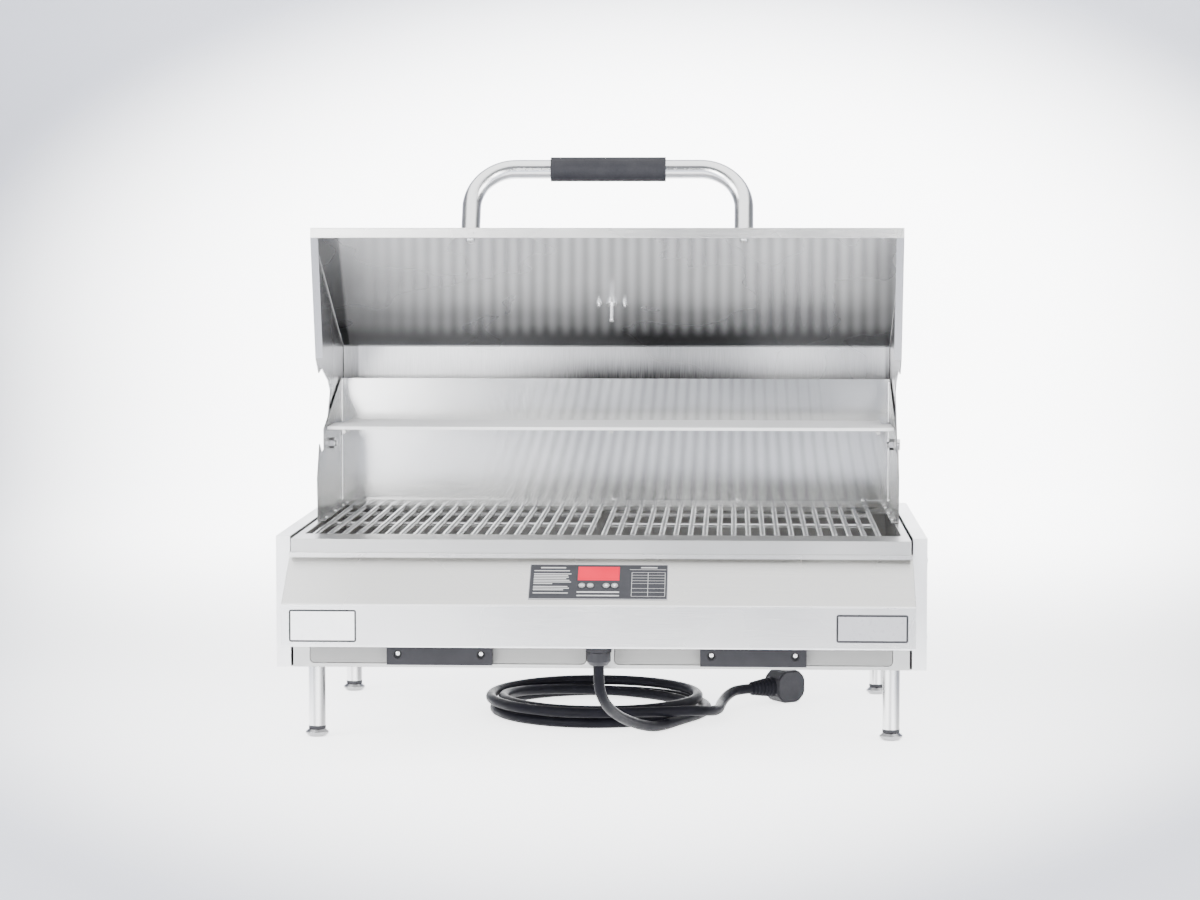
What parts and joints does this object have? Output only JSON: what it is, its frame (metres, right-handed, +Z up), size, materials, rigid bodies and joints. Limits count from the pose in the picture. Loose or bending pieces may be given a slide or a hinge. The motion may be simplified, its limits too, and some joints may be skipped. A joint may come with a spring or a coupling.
{
  "type": "electric table grill",
  "caption": "Tabletop electric grill in stainless sheet with a hinged lid, rod grates, a warming shelf, pull-out grease trays, a sloped control panel and a coiled mains cord.",
  "frame": {"origin": "centre of the grill's footprint box on the table, cord left out, lid open", "axes": "+X to the grill's right seen from the front, +Y to the back, +Z up"},
  "size_m": [0.817, 0.5718, 0.7424],
  "materials": {
    "brushed_steel": "brushed stainless sheet",
    "polished_steel": "bright annealed stainless sheet",
    "satin_steel": "satin stainless sheet",
    "element_sheath": "heat-darkened sheath",
    "bright_metal": "polished",
    "grip_rubber": "matt moulded rubber",
    "black_plastic": "moulded satin",
    "cord_rubber": "satin jacket",
    "overlay_film": "printed film",
    "red_window": "tinted gloss",
    "circuit_board": "lacquered",
    "plate_film": "satin film",
    "gauge_glass": "clear",
    "needle_paint": "paint"
  },
  "bodies": {
    "body": {"side_panel_left": "brushed_steel", "side_panel_right": "brushed_steel", "base_pan": "satin_steel", "tray_frame": "brushed_steel", "firebox": "brushed_steel", "rear_cover": "brushed_steel", "rear_wall": "polished_steel", "wing_left": "polished_steel", "wing_right": "polished_steel", "shelf_rods": "brushed_steel", "reflector_pan": "polished_steel", "heating_element": "element_sheath", "element_stands": "satin_steel", "temperature_probe": "brushed_steel", "control_housing": "brushed_steel", "control_overlay": "overlay_film", "display_window": "red_window", "control_board": "circuit_board", "relay_block": "black_plastic", "plate_left": "plate_film", "plate_right": "plate_film", "cable_gland": "black_plastic", "gland_nut": "black_plastic", "leg_front_left": "brushed_steel", "leg_front_right": "brushed_steel", "leg_rear_left": "brushed_steel", "leg_rear_right": "brushed_steel", "leg_collars": "grip_rubber", "feet": "brushed_steel", "panel_screws": "bright_metal", "hinge_bolts": "bright_metal", "cord_lead": "cord_rubber", "cord_coil": "cord_rubber", "cord_tail": "cord_rubber", "plug_body": "black_plastic", "plug_blades": "bright_metal"},
    "lid": {"lid_shell": "polished_steel", "lid_side_left": "polished_steel", "lid_side_right": "polished_steel", "lid_rim": "brushed_steel", "handle_tube": "bright_metal", "handle_grip": "grip_rubber", "handle_screws": "bright_metal", "gauge_case": "brushed_steel", "gauge_nuts": "bright_metal", "gauge_glass": "gauge_glass"},
    "needle": {"gauge_needle": "needle_paint"},
    "shelf": {"warming_shelf": "brushed_steel"},
    "left_grate": {"grate_left": "brushed_steel"},
    "right_grate": {"grate_right": "brushed_steel"},
    "left_tray": {"tray_left": "satin_steel", "tray_handle_left": "black_plastic", "tray_screws_left": "bright_metal"},
    "right_tray": {"tray_right": "satin_steel", "tray_handle_right": "black_plastic", "tray_screws_right": "bright_metal"},
    "on_key": {"button_on": "brushed_steel"},
    "off_key": {"button_off": "brushed_steel"},
    "up_key": {"button_up": "brushed_steel"},
    "down_key": {"button_down": "brushed_steel"}
  },
  "joints": [
    {"name": "lid_hinge", "type": "hinge", "parent": "body", "child": "lid", "pos_m": [0, 0.1219, 0.359], "axis": [1, 0, 0], "range_deg": [0, 78]},
    {"name": "left_tray_slide", "type": "slide", "parent": "body", "child": "left_tray", "axis": [0, -1, 0], "range_m": [0, 0.36]},
    {"name": "right_tray_slide", "type": "slide", "parent": "body", "child": "right_tray", "axis": [0, -1, 0], "range_m": [0, 0.36]},
    {"name": "shelf_lift", "type": "slide", "parent": "body", "child": "shelf", "axis": [0, 0, 1], "range_m": [0, 0.06]},
    {"name": "left_grate_lift", "type": "slide", "parent": "body", "child": "left_grate", "axis": [0, 0, 1], "range_m": [0, 0.03]},
    {"name": "right_grate_lift", "type": "slide", "parent": "body", "child": "right_grate", "axis": [0, 0, 1], "range_m": [0, 0.03]},
    {"name": "needle_turn", "type": "hinge", "parent": "lid", "child": "needle", "pos_m": [0, 0.16401, 0.55912], "axis": [0, -0.4639, -0.8859], "range_deg": [0, 270]},
    {"name": "on_press", "type": "slide", "parent": "body", "child": "on_key", "axis": [0, 0.5735, -0.8192], "range_m": [0, 0.001], "stiffness_N_per_m": 400},
    {"name": "off_press", "type": "slide", "parent": "body", "child": "off_key", "axis": [0, 0.5735, -0.8192], "range_m": [0, 0.001], "stiffness_N_per_m": 400},
    {"name": "up_press", "type": "slide", "parent": "body", "child": "up_key", "axis": [0, 0.5735, -0.8192], "range_m": [0, 0.001], "stiffness_N_per_m": 400},
    {"name": "down_press", "type": "slide", "parent": "body", "child": "down_key", "axis": [0, 0.5735, -0.8192], "range_m": [0, 0.001], "stiffness_N_per_m": 400}
  ]
}
